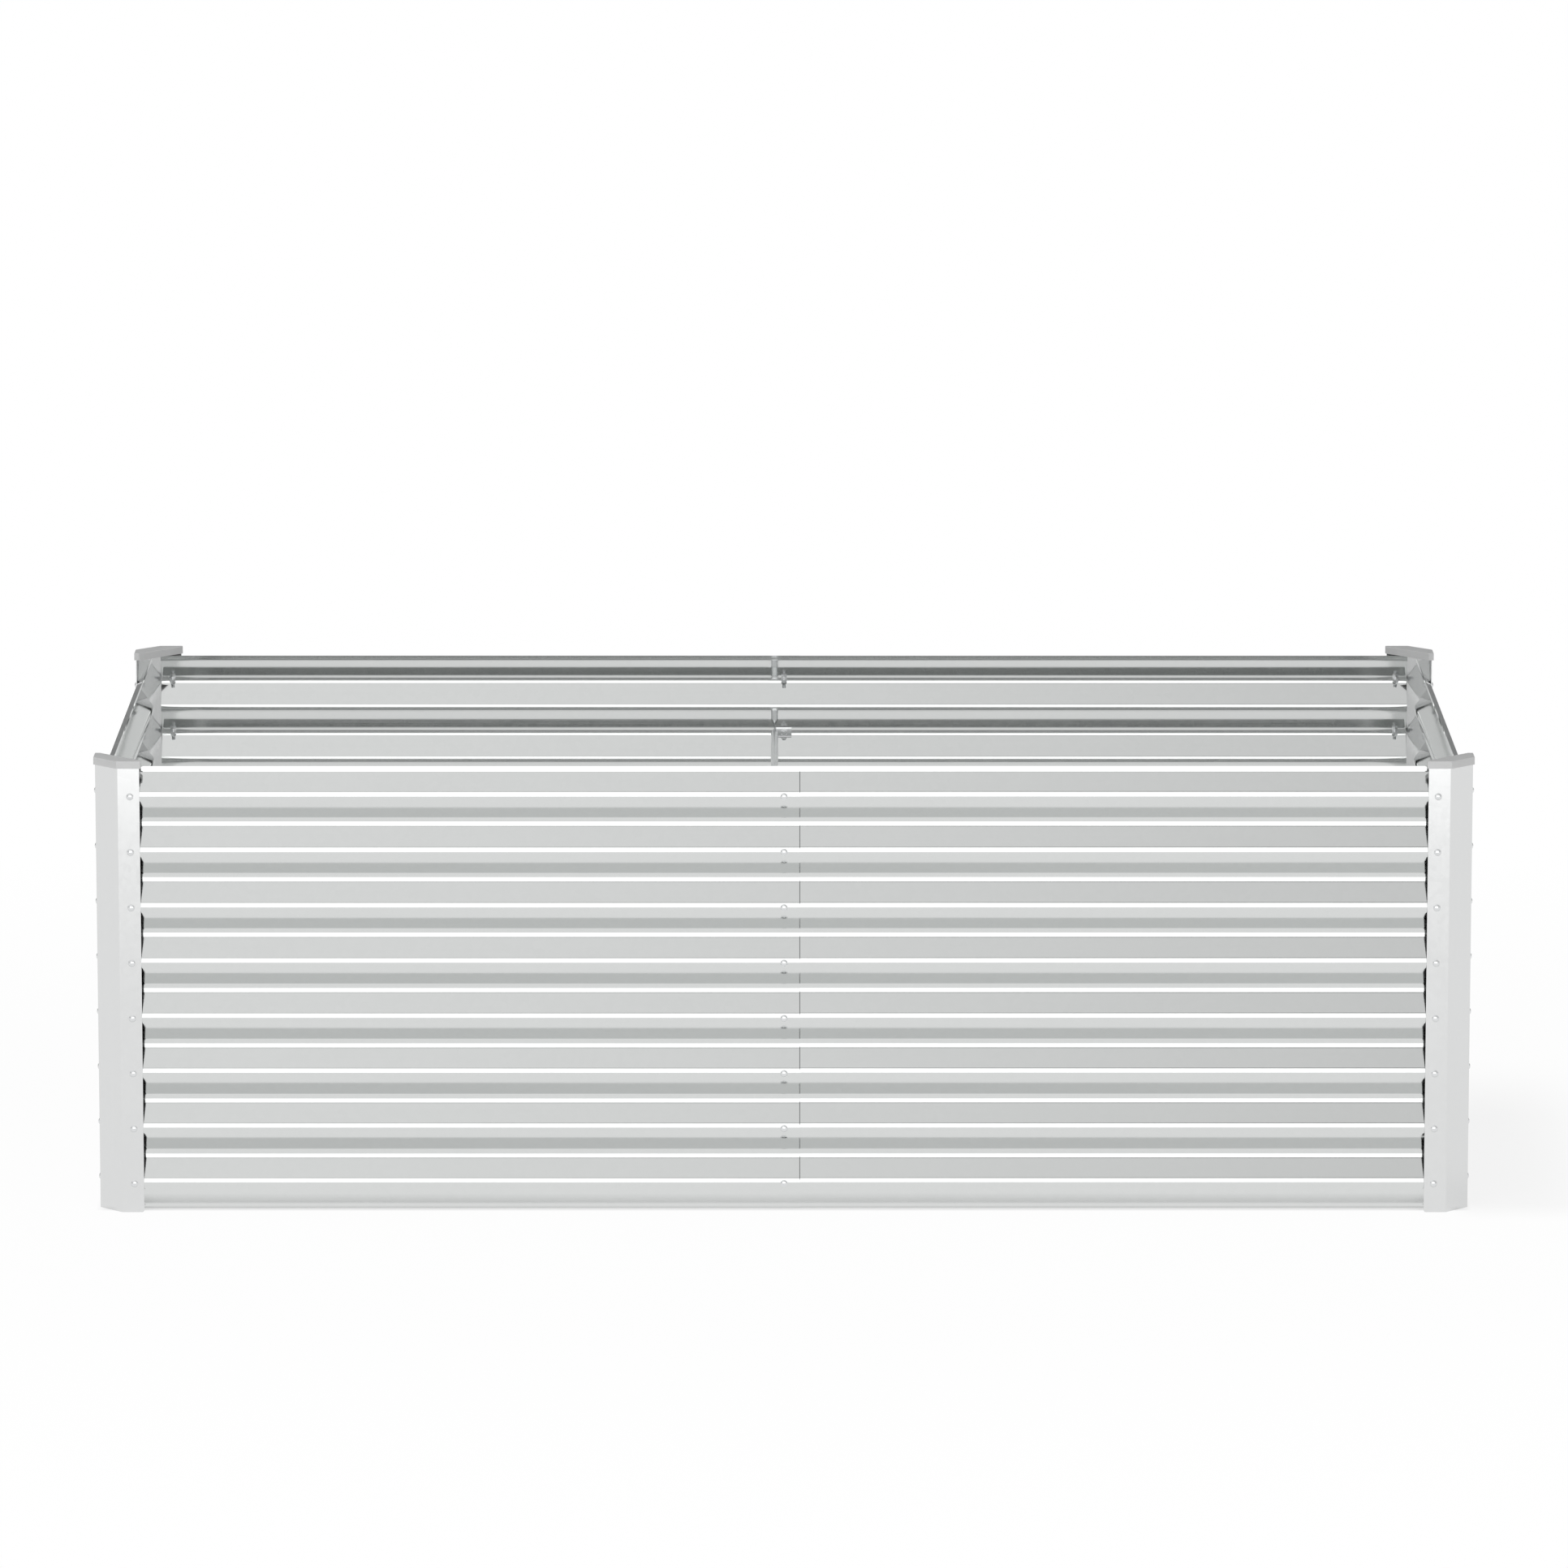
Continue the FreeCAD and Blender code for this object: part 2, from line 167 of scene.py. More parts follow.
cloth_size = (7.0, 3.4)
cloth_middle = (-2.0, -0.7, 2.8)
cloth_glow = 0.30
cloth_front_share = 0.75        # of the glow, at the cloth's front
cloth_right_edge = ("X", 4.2, 1.0)
cloth_front_edge = ("Y", 0.0, 0.8)
canopy = Finish("glowing_cloth")
leftward = canopy.patch([cloth_right_edge])
backward = canopy.patch([cloth_front_edge]) * (1 - cloth_front_share) + cloth_front_share
open_air = canopy.node("ShaderNodeBsdfTransparent")
lit_cloth = canopy.node("ShaderNodeAddShader", {}, {
    0: open_air, 1: canopy.node("ShaderNodeEmission", {}, {"Strength": cloth_glow})})
unseen_card("top_canopy", *cloth_size, cloth_middle, (0, 0, 0), canopy.surface(
    canopy.node("ShaderNodeMixShader", {}, {0: leftward * backward, 1: open_air, 2: lit_cloth})))

# A dim strip hangs just over the softbox, in the gap in front of the cloth.
strip_size = (9.0, 0.8)
strip_middle = (0, -3.05, front_box_high + 0.05)
strip_left_glow = 0.7
strip_right_glow = 0.35
strip_fade = ("X", -1.0, 1.1)
dim_cloth = Finish("dim_cloth")
left_glow = dim_cloth.node("ShaderNodeEmission", {}, {"Strength": strip_left_glow})
right_glow = dim_cloth.node("ShaderNodeEmission", {}, {"Strength": strip_right_glow})
rightward = dim_cloth.patch([strip_fade], "LINEAR")
unseen_card("dim_gap", *strip_size, strip_middle, (0, 0, 0), dim_cloth.surface(
    dim_cloth.node("ShaderNodeMixShader", {}, {0: rightward, 1: left_glow, 2: right_glow})))

back_card_size = (9.0, 6.0)
back_card_middle = (0, 3.0, 3.01)
back_card_grey = (0.33, 0.335, 0.335, 1)
grey_card = Finish("grey_card")
unseen_card("back_card", *back_card_size, back_card_middle, (math.radians(90), 0, 0), grey_card.surface(
    grey_card.node("ShaderNodeBsdfDiffuse", {}, {"Color": back_card_grey})))

room_brightness = 0.73
room = bpy.data.worlds.new("white_room")
bpy.context.scene.world = room
room_finish = Finish("white_room", room)
room_finish.surface(room_finish.node("ShaderNodeBackground", {},
                                     {"Color": (1, 1, 1, 1), "Strength": room_brightness}))

floor_reach = 40.0
floor_colour = (0.85, 0.85, 0.85, 1)
near_distance = 1.2             # from the bed's middle, up to which the floor is as it is by the bed
far_distance = 2.4              # and from which it is plain white
near_whiteness = 0.96           # how much of the floor by the bed is plain white to camera and metal
shadow_whiteness = 0.80         # the same right of the bed: a painted soft shadow over its cast one
shadow_edges = [("X", 0.88, 0.93), ("X", 1.2, 0.98), ("Y", -0.52, -0.4), ("Y", 0.55, 0.1)]
inner_edges = [("X", -0.92, -0.9), ("X", 0.92, 0.9), ("Y", -0.45, -0.44), ("Y", 0.45, 0.44)]
inner_front_shade = 0.46     # painted shade inside the bed: how much less white, along the front wall
inner_back_shade = 0.12      # and behind the middle
inner_front = -0.44             # where along Y the first stops
inner_back = 0.2                # and the second begins

bpy.ops.mesh.primitive_plane_add(size=2 * floor_reach, location=(0, 0, 0))
floor = bpy.context.object
floor.name = "studio_floor"
floor_finish = Finish("white_floor")
matt = floor_finish.node("ShaderNodeBsdfDiffuse", {}, {"Color": floor_colour})
# A painted soft shadow right of the bed: less of the floor is plain white there, so its cast shadow shows
# more.
shadow = floor_finish.patch(shadow_edges)
# Painted shade on the floor inside the bed, deepest along the front wall.
inside = floor_finish.patch(inner_edges, "LINEAR")
painted_shade = floor_finish.node("ShaderNodeMapRange", {}, {
    "Value": floor_finish.coordinate("Y"), "From Min": inner_front, "From Max": inner_back,
    "To Min": inner_front_shade, "To Max": inner_back_shade})
near = near_whiteness - shadow * (near_whiteness - shadow_whiteness) - inside * painted_shade
spot = floor_finish.node("ShaderNodeTexCoord", {}, {}, "Object")
away = floor_finish.node("ShaderNodeVectorMath", {"operation": "LENGTH"}, {0: spot}, "Value")
far = floor_finish.node("ShaderNodeMapRange", {}, {
    "Value": away, "From Min": near_distance, "From Max": far_distance})
seen_straight = floor_finish.node("ShaderNodeLightPath", {}, {}, "Is Camera Ray")
seen_mirrored = floor_finish.node("ShaderNodeLightPath", {}, {}, "Is Glossy Ray")
seen_through = floor_finish.node("ShaderNodeLightPath", {}, {}, "Is Transmission Ray")
whiteness = (seen_straight + seen_mirrored + seen_through) * (far * (1 - near) + near)
glow = floor_finish.node("ShaderNodeEmission", {}, {"Color": (1, 1, 1, 1), "Strength": 1.0})
floor.data.materials.append(floor_finish.surface(
    floor_finish.node("ShaderNodeMixShader", {}, {0: whiteness, 1: matt, 2: glow})))

camera_place = (0, -13.0309, 2.89296)
camera_tilt = 10.4177           # degrees below level
camera_lens = 221.67            # millimetres
camera_sensor_width = 36
camera_reach = 200
camera = bpy.data.objects.new("camera", bpy.data.cameras.new("camera"))
camera.location = camera_place
camera.rotation_euler = (math.radians(90 - camera_tilt), 0, 0)
camera.data.lens = camera_lens
camera.data.sensor_width = camera_sensor_width
camera.data.clip_end = camera_reach
bpy.context.scene.collection.objects.link(camera)
bpy.context.scene.camera = camera
bpy.context.scene.view_settings.view_transform = "Standard"


# ------------------------------------------------------------------ the corrugated panels
# Six panels of galvanised steel sheet, 0.6 mm thick, roll-formed into eight waves. Each ends in an
# upright lip whose rim leans in a little. The left panel of a long wall laps over the right one.

touching = 1e-5                 # how close to a line or plane counts as on it
mostly = 0.9                    # how much of a direction lies along an axis, if it counts as along it


def pick(kind, test):
    """Selects what passes the test among the open mesh's vertices, edges or faces.

    The test gets each one's middle, and the direction of an edge or the normal of a face.
    """
    bpy.ops.mesh.select_mode(type=kind)
    bpy.ops.mesh.select_all(action="DESELECT")
    mesh = bmesh.from_edit_mesh(bpy.context.edit_object.data)
    if kind == "VERT":
        chosen = [v for v in mesh.verts if test(v.co, v.normal)]
    elif kind == "EDGE":
        chosen = []
        for edge in mesh.edges:
            first, second = edge.verts[0].co, edge.verts[1].co
            if test((first + second) / 2, (second - first).normalized()):
                chosen.append(edge)
    else:
        chosen = [f for f in mesh.faces if test(f.calc_center_median(), f.normal)]
    for part in chosen:
        part.select_set(True)
    mesh.select_flush_mode()
    bmesh.update_edit_mesh(bpy.context.edit_object.data)


def extrude(x, y, z):
    """Pulls what is selected out into new faces, by this much."""
    bpy.ops.mesh.extrude_region_move(TRANSFORM_OT_translate={"value": (x, y, z)})


def added():
    """The primitive just added, active and alone in the selection."""
    piece = bpy.context.object
    bpy.ops.object.mode_set(mode="OBJECT")
    bpy.ops.object.select_all(action="DESELECT")
    piece.select_set(True)
    bpy.context.view_layer.objects.active = piece
    return piece


def modify(piece, kind, **settings):
    """Adds a modifier, sets it and applies it."""
    bpy.context.view_layer.objects.active = piece
    modifier = piece.modifiers.new(kind.lower(), kind)
    for name, value in settings.items():
        setattr(modifier, name, value)
    bpy.ops.object.modifier_apply(modifier=modifier.name)


wave_pitch = 0.075
wave_count = 8
wave_depth = 0.0209
wave_radius = 0.013
sheet_thickness = 0.0006
outer_crest_depth = 0.00125 + sheet_thickness / 2   # of the sheet's middle line, behind the posts' face
arc_steps = 20
lip_height = 0.0049
lip_bend_radius = 0.006
lip_bend_steps = 8
rim_height = 0.0016
rim_lean = 0.00025

centre_step = wave_depth - 2 * wave_radius
centre_distance = math.hypot(wave_pitch / 2, centre_step)
flank_angle = math.asin(2 * wave_radius / centre_distance) + math.atan2(centre_step, wave_pitch / 2)
flank_rise = wave_pitch / 2 - 2 * wave_radius * math.sin(flank_angle)
flank_depth = flank_rise * math.tan(flank_angle)


def roll_sheet(name, start, end, bottom, depth):
    """The sheet's middle surface for the front wall, rolled from the bottom rim to the top one."""
    arc_rise = wave_radius * math.sin(flank_angle)
    arc_depth = wave_radius * (1 - math.cos(flank_angle))
    bend_rise = lip_bend_radius * math.sin(flank_angle)
    bend_depth = lip_bend_radius * (1 - math.cos(flank_angle))
    lip_top = bottom + lip_height
    first_flank = wave_pitch / 2 - arc_rise - lip_height - bend_rise
    first_flank_depth = first_flank * math.tan(flank_angle)
    lip_depth = depth + arc_depth + first_flank_depth + bend_depth
    height = lip_height - rim_height

    bpy.ops.mesh.primitive_plane_add(
        size=1, location=((start + end) / 2, lip_depth, lip_top - height / 2))
    sheet = added()
    sheet.name = name
    bpy.ops.object.mode_set(mode="EDIT")
    bpy.ops.mesh.select_all(action="SELECT")
    bpy.ops.transform.resize(value=(end - start, height, 1))
    bpy.ops.object.mode_set(mode="OBJECT")
    sheet.rotation_euler.x = math.radians(90)
    bpy.ops.object.transform_apply(location=True, rotation=True, scale=True)
    bpy.ops.object.mode_set(mode="EDIT")

    def roll(centre_depth, centre_height, angle, steps):
        """Bends the sheet on round this centre, toward the front where the angle is above zero."""
        bpy.ops.mesh.spin(steps=steps, angle=-angle, axis=(1, 0, 0),
                          center=(0, centre_depth, centre_height))

    pick("EDGE", lambda middle, along: middle.z < bottom + rim_height + touching and abs(along.x) > mostly)
    extrude(0, rim_lean, -rim_height)
    pick("EDGE", lambda middle, along: middle.z > lip_top - touching and abs(along.x) > mostly)
    roll(lip_depth - lip_bend_radius, lip_top, flank_angle, lip_bend_steps)
    extrude(0, -first_flank_depth, first_flank)
    for wave in range(wave_count):
        crest = bottom + wave_pitch * (wave + 0.5)
        roll(depth + wave_radius, crest, -2 * flank_angle, arc_steps)
        if wave < wave_count - 1:
            extrude(0, flank_depth, flank_rise)
            roll(depth + wave_depth - wave_radius, crest + wave_pitch / 2, 2 * flank_angle, arc_steps)
            extrude(0, -flank_depth, flank_rise)
    extrude(0, first_flank_depth, first_flank)
    top_lip = bottom + wave_pitch * wave_count - lip_height
    roll(lip_depth - lip_bend_radius, top_lip, flank_angle, lip_bend_steps)
    extrude(0, 0, height)
    extrude(0, rim_lean, rim_height)
    bpy.ops.object.mode_set(mode="OBJECT")
    return sheet


def centre(node):
    """The middle of a node of the construction."""
    low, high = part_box(node)
    return (low + high) / 2


def drill(piece, axis, places, radius, length):
    """Cuts round holes through a piece, along axis, with their middles at these places."""
    turn = Vector(axis).to_track_quat("Z", "Y").to_euler()
    drills = []
    for place in places:
        bpy.ops.mesh.primitive_cylinder_add(vertices=24, radius=radius, depth=length,
                                            location=place, rotation=turn)
        drills.append(bpy.context.object)
    for tool in drills:
        tool.select_set(True)
    bpy.context.view_layer.objects.active = drills[0]
    bpy.ops.object.join()
    joined = bpy.context.object
    modify(piece, "BOOLEAN", operation="DIFFERENCE", solver="EXACT", object=joined)
    bpy.data.objects.remove(joined)


def smooth(piece, angle=30):
    """Shades the piece smoothly up to this angle between faces, in degrees, the large faces leading."""
    bpy.ops.object.select_all(action="DESELECT")
    piece.select_set(True)
    bpy.context.view_layer.objects.active = piece
    bpy.ops.object.shade_smooth_by_angle(angle=math.radians(angle))
    modify(piece, "WEIGHTED_NORMAL", weight=90, keep_sharp=True)


def placed_copy(piece, name, turn=0, mirror_x=False, mirror_y=False):
    """A copy with its own mesh, turned about Z and mirrored, its place kept in its mesh.

    A copy mirrored once has its faces turned outward and its shading worked out again.
    """
    copy = piece.copy()
    copy.data = piece.data.copy()
    copy.name = name
    bpy.context.scene.collection.objects.link(copy)
    copy.rotation_euler.z = math.radians(turn)
    bpy.ops.object.select_all(action="DESELECT")
    copy.select_set(True)
    bpy.context.view_layer.objects.active = copy
    bpy.ops.object.transform_apply(location=True, rotation=True, scale=True)
    if mirror_x or mirror_y:
        copy.scale = (-1 if mirror_x else 1, -1 if mirror_y else 1, 1)
        bpy.ops.object.transform_apply(location=True, rotation=True, scale=True)
        if mirror_x != mirror_y:
            bpy.ops.object.mode_set(mode="EDIT")
            bpy.ops.mesh.select_all(action="SELECT")
            bpy.ops.mesh.normals_make_consistent(inside=False)
            bpy.ops.mesh.customdata_custom_splitnormals_clear()
            bpy.ops.object.mode_set(mode="OBJECT")
            smooth(copy, 35)
    return copy


def fit_out(piece, material, slot, *nodes):
    """Gives a finished piece its material, ties it to the bed, and hides the nodes it stands for."""
    piece.data.materials.clear()
    piece.data.materials.append(material)
    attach(piece, "root")
    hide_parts(*nodes)


hole_radius = 0.0028
hole_strip = 0.0042             # of even sheet each side of a hole's middle
seam_shade_width = 0.0009              # of painted shade along the cut end of a panel
seam_shade_fade = seam_shade_width * 0.2
unshaded_slope = 0.3                 # how far up a face looks where the seam has no painted shade
full_shade_slope = 0.5                 # and where its painted shade is full
sheet_zinc_dark = (0.667, 0.679, 0.674, 1)
sheet_zinc_light = (0.69, 0.701, 0.696, 1)
# The colour of the painted shade at the seam.
seam_shade_zinc = (0.16, 0.165, 0.165, 1)
bolt_rows = [wave_pitch * (row + 0.5) for row in range(wave_count)]


def wall_panel(name, start, end, wall_line, set_in, bolt_lines):
    """A finished panel of the front wall, or of an end wall before it is turned to its place."""
    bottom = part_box("front_panel_left")[0].z
    sheet = roll_sheet(name, start, end, bottom, wall_line + outer_crest_depth + set_in)
    bpy.ops.object.mode_set(mode="EDIT")
    bpy.ops.mesh.select_all(action="SELECT")
    bpy.ops.mesh.remove_doubles(threshold=1e-6)
    bpy.ops.mesh.normals_make_consistent(inside=False)
    for line in bolt_lines:
        for side in (-hole_strip, hole_strip):
            bpy.ops.mesh.select_all(action="SELECT")
            bpy.ops.mesh.bisect(plane_co=(line + side, 0, 0), plane_no=(1, 0, 0))
    bpy.ops.object.mode_set(mode="OBJECT")
    modify(sheet, "SOLIDIFY", thickness=sheet_thickness, offset=0, use_even_offset=True)
    holes = [(line, wall_line + outer_crest_depth, bottom + row)
             for line in bolt_lines for row in bolt_rows]
    drill(sheet, (0, 1, 0), holes, hole_radius, length=0.01)
    smooth(sheet)
    return sheet


def rolled_steel(name, along, cut_end=None):
    """Bright zinc on rolled sheet: nearly a mirror, with faint spangle and lines along the rolling.

    Where cut_end gives the end of a panel at the seam, its last millimetre is painted darker where it
    faces up, as painted shade along the lap.
    """
    finish = Finish(name)
    place = finish.node("ShaderNodeTexCoord", {}, {}, "Object")
    stretch = [300.0, 300.0, 300.0]
    stretch[along] = 4.0    # the lines run along this axis
    lengthwise = finish.node("ShaderNodeMapping", {}, {"Vector": place, "Scale": stretch})
    lines = finish.node("ShaderNodeTexNoise", {}, {"Vector": lengthwise, "Scale": 1.0, "Detail": 3.0})
    spangle = finish.node("ShaderNodeTexVoronoi", {}, {"Vector": place, "Scale": 110.0}, "Color")
    shade = finish.node("ShaderNodeSeparateColor", {}, {"Color": spangle}, 0)
    tone = lines * 0.6 + shade * 0.4
    colour = finish.blend(tone, sheet_zinc_dark, sheet_zinc_light)
    # Painted shade along the seam where the panels lap, only on faces that look up.
    if cut_end is not None:
        from_cut = finish.node("ShaderNodeMath", {"operation": "ABSOLUTE"},
                               {0: finish.coordinate("X") - cut_end})
        painted_shade = finish.node("ShaderNodeMapRange", {}, {
            "Value": from_cut, "From Min": seam_shade_width + seam_shade_fade, "From Max": seam_shade_width})
        facing = finish.node("ShaderNodeNewGeometry", {}, {}, "True Normal")
        upward = finish.node("ShaderNodeSeparateXYZ", {}, {"Vector": facing}, "Z")
        shade_facing_up = finish.node("ShaderNodeMapRange", {}, {
            "Value": upward, "From Min": unshaded_slope, "From Max": full_shade_slope})
        colour = finish.blend(painted_shade * shade_facing_up, colour, seam_shade_zinc)
    bump = finish.node("ShaderNodeBump", {}, {"Height": lines, "Strength": 0.04, "Distance": 0.0002})
    return finish.surface(finish.node("ShaderNodeBsdfPrincipled", {}, {
        "Base Color": colour, "Metallic": 1.0,
        "Roughness": shade * 0.02 + lines * 0.03 + 0.05, "Normal": bump}))


wall_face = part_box("corner_post_front_left")[0]
left_panel_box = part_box("front_panel_left")
right_panel_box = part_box("front_panel_right")
# The left panels carry painted shade along their cut end at the seam.
left_steel = rolled_steel("galvanised_sheet_seam_shade", 0, left_panel_box[1].x)
right_steel = rolled_steel("galvanised_sheet", 0)
end_wall_steel = rolled_steel("galvanised_sheet_of_end_walls", 1)
end_panel_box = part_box("end_panel_left")
post_bolt_line = centre("wall_bolts_front_left").x
nest_shift = right_panel_box[0].y - left_panel_box[0].y
left_sheet = wall_panel("front_sheet_left", left_panel_box[0].x, left_panel_box[1].x, wall_face.y, 0,
                        [post_bolt_line, 0])
right_sheet = wall_panel("front_sheet_right", right_panel_box[0].x, right_panel_box[1].x, wall_face.y,
                         nest_shift, [0, -post_bolt_line])
end_bolt_line = centre("end_bolts_front_left").y
end_sheet = wall_panel("end_sheet", end_panel_box[0].y, end_panel_box[1].y, wall_face.x, 0,
                       [end_bolt_line, -end_bolt_line])

for sheet, steel, name, node in ((left_sheet, left_steel, "back_sheet_left", "back_panel_left"),
                                 (right_sheet, right_steel, "back_sheet_right", "back_panel_right")):
    copy = placed_copy(sheet, name, mirror_y=True)
    fit_out(copy, steel, "galvanised_corrugated_sheet", node)
fit_out(left_sheet, left_steel, "galvanised_corrugated_sheet", "front_panel_left")
fit_out(right_sheet, right_steel, "galvanised_corrugated_sheet", "front_panel_right")
for name, turn, node in (("left_end_sheet", -90, "end_panel_left"),
                         ("right_end_sheet", 90, "end_panel_right")):
    copy = placed_copy(end_sheet, name, turn)
    fit_out(copy, end_wall_steel, "galvanised_corrugated_sheet", node)
bpy.data.objects.remove(end_sheet)


# ------------------------------------------------------------------ the corner posts
# Four posts of 1.2 mm galvanised sheet stand on the floor: a flange on the long wall, a face across
# the corner and a flange on the end wall. Folded on a press, punched, with the lower corners rounded.

post_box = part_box("corner_post_front_left")
post_thickness = 0.0012
post_fold_distance = 0.0313     # from the corner that the face cuts off to each fold line
post_fold_radius = 0.0014 + post_thickness / 2
post_corner_radius = 0.003
post_edge_radius = 0.00012      # left by the shear
bolt_edge_distance = 0.0128     # from a flange's edge to the middle of its bolts
fold_steps = 8
post_zinc_dark = (0.7, 0.706, 0.706, 1)
post_zinc_light = (0.73, 0.736, 0.736, 1)

corner = post_box[0]
flange_reach = post_box[1].x - corner.x
half_fold = math.tan(math.radians(22.5))
fold_line = post_fold_distance + post_thickness / 2 * half_fold
fold_start = fold_line + post_fold_radius * half_fold
flange_width = flange_reach - fold_start
face_width = (fold_line - post_thickness / 2) * math.sqrt(2) - 2 * post_fold_radius * half_fold

bpy.ops.mesh.primitive_plane_add(size=1)
post = added()
post.name = "post"
post.scale = (flange_width, post_box[1].z - corner.z, 1)
post.rotation_euler.x = math.radians(90)
post.location = (corner.x + flange_reach - flange_width / 2, corner.y + post_thickness / 2,
                 (post_box[1].z + corner.z) / 2)
bpy.ops.object.transform_apply(location=True, rotation=True, scale=True)
bpy.ops.object.mode_set(mode="EDIT")
pick("EDGE", lambda middle, along: middle.x < corner.x + fold_start + touching and abs(along.z) > mostly)
bpy.ops.mesh.spin(steps=fold_steps, angle=math.radians(45), axis=(0, 0, 1),
                  center=(corner.x + fold_start, corner.y + post_thickness / 2 + post_fold_radius, 0))
extrude(-face_width / math.sqrt(2), face_width / math.sqrt(2), 0)
bpy.ops.mesh.spin(steps=fold_steps, angle=math.radians(45), axis=(0, 0, 1),
                  center=(corner.x + post_thickness / 2 + post_fold_radius, corner.y + fold_start, 0))
extrude(0, flange_width, 0)
bpy.ops.mesh.select_all(action="SELECT")
bpy.ops.mesh.remove_doubles(threshold=1e-6)
bpy.ops.mesh.normals_make_consistent(inside=False)
bpy.ops.object.mode_set(mode="OBJECT")
modify(post, "SOLIDIFY", thickness=post_thickness, offset=0, use_even_offset=True)
bpy.ops.object.mode_set(mode="EDIT")
pick("EDGE", lambda middle, along: middle.z < touching and (
    (abs(along.y) > mostly and middle.x > corner.x + flange_reach - touching)
    or (abs(along.x) > mostly and middle.y > corner.y + flange_reach - touching)))
bpy.ops.mesh.bevel(offset=post_corner_radius, segments=6, affect="EDGES")
bpy.ops.object.mode_set(mode="OBJECT")
modify(post, "BEVEL", width=post_edge_radius, segments=2, limit_method="ANGLE",
       angle_limit=math.radians(50))
bolt_inset = flange_reach - bolt_edge_distance
punch_heights = [left_panel_box[0].z + row for row in bolt_rows]
wall_holes = [(corner.x + bolt_inset, corner.y, z) for z in punch_heights]
end_holes = [(corner.x, corner.y + bolt_inset, z) for z in punch_heights]
drill(post, (0, 1, 0), wall_holes, hole_radius, length=0.006)
drill(post, (1, 0, 0), end_holes, hole_radius, length=0.006)
smooth(post)


def post_steel():
    """Zinc on thicker sheet: a soft sheen, with faint cloudy spangle and fine brushed lines."""
    finish = Finish("galvanised_post_sheet")
    place = finish.node("ShaderNodeTexCoord", {}, {}, "Object")
    upright = finish.node("ShaderNodeMapping", {}, {"Vector": place, "Scale": (260.0, 260.0, 5.0)})
    lines = finish.node("ShaderNodeTexNoise", {}, {"Vector": upright, "Scale": 1.0, "Detail": 4.0})
    clouds = finish.node("ShaderNodeTexNoise", {}, {"Vector": place, "Scale": 14.0, "Detail": 3.0})
    spangle = finish.node("ShaderNodeTexVoronoi", {}, {"Vector": place, "Scale": 160.0}, "Color")
    shade = finish.node("ShaderNodeSeparateColor", {}, {"Color": spangle}, 0)
    tone = lines * 0.3 + clouds * 0.4 + shade * 0.3
    colour = finish.blend(tone, post_zinc_dark, post_zinc_light)
    bump = finish.node("ShaderNodeBump", {}, {
        "Height": lines + shade * 0.5, "Strength": 0.06, "Distance": 0.0002})
    return finish.surface(finish.node("ShaderNodeBsdfPrincipled", {}, {
        "Base Color": colour, "Metallic": 1.0,
        "Roughness": clouds * 0.05 + shade * 0.03 + 0.15, "Normal": bump}))


satin_zinc = post_steel()
for name, node, in_x, in_y in (("right_front_post", "corner_post_front_right", True, False),
                               ("left_back_post", "corner_post_back_left", False, True),
                               ("right_back_post", "corner_post_back_right", True, True)):
    copy = placed_copy(post, name, mirror_x=in_x, mirror_y=in_y)
    fit_out(copy, satin_zinc, "galvanised_post_sheet", node)
post.name = "left_front_post"
fit_out(post, satin_zinc, "galvanised_post_sheet", "corner_post_front_left")


# ------------------------------------------------------------------ the post caps
# A moulded cap of grey plastic is pushed down over the top of each post. It covers the sharp edge
# and reaches a little inward, its back cut off square across the corner.

cap_low, cap_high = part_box("post_cap_front_left")
cap_wall = 0.0018
cap_top_thickness = 0.002
cap_end_width = 0.007
cap_side_radius = 0.0015
cap_rim_radius = 0.0008
plastic_dark = (0.515, 0.519, 0.519, 1)
plastic_light = (0.575, 0.578, 0.578, 1)
cap_width = cap_high.x - cap_low.x
cap_height = cap_high.z - cap_low.z
cap_fold = post_fold_distance + (corner.x - cap_low.x) * (1 - half_fold)    # from the cap's own corner

bpy.ops.mesh.primitive_cube_add(size=1)
cap = added()
cap.name = "cap"
cap.scale = (cap_width, cap_width, cap_height)
cap.location = (cap_low + cap_high) / 2
bpy.ops.object.transform_apply(location=True, rotation=True, scale=True)
bpy.ops.object.mode_set(mode="EDIT")
bpy.ops.mesh.select_all(action="SELECT")
bpy.ops.mesh.bisect(plane_co=(cap_low.x + cap_fold, cap_low.y, 0), plane_no=(-1, -1, 0),
                    use_fill=True, clear_outer=True)
bpy.ops.mesh.select_all(action="SELECT")
bpy.ops.mesh.bisect(plane_co=(cap_high.x, cap_low.y + cap_end_width, 0), plane_no=(1, 1, 0),
                    use_fill=True, clear_outer=True)
bpy.ops.mesh.select_all(action="SELECT")
bpy.ops.mesh.normals_make_consistent(inside=False)


def square_end(middle):
    """Whether an upright edge is at the square corner of one of the narrow ends."""
    return ((middle.x > cap_high.x - touching and middle.y < cap_low.y + touching)
            or (middle.y > cap_high.y - touching and middle.x < cap_low.x + touching))


pick("EDGE", lambda middle, along: abs(along.z) > mostly and square_end(middle))
bpy.ops.mesh.bevel(offset=cap_side_radius, segments=5, affect="EDGES")
pick("EDGE", lambda middle, along: abs(along.z) > mostly and not square_end(middle)
     and (abs(middle.x + middle.y - cap_low.x - cap_low.y - cap_fold) < touching
          or abs(middle.x + middle.y - cap_high.x - cap_low.y - cap_end_width) < touching))
bpy.ops.mesh.bevel(offset=cap_side_radius * half_fold, segments=4, affect="EDGES")
pick("FACE", lambda middle, normal: normal.z > mostly)
bpy.ops.mesh.bevel(offset=cap_rim_radius, segments=4, affect="EDGES")
pick("FACE", lambda middle, normal: normal.z < -mostly)
bpy.ops.mesh.inset(thickness=cap_wall, use_even_offset=True)
extrude(0, 0, cap_height - cap_top_thickness)
bpy.ops.object.mode_set(mode="OBJECT")
smooth(cap, 35)


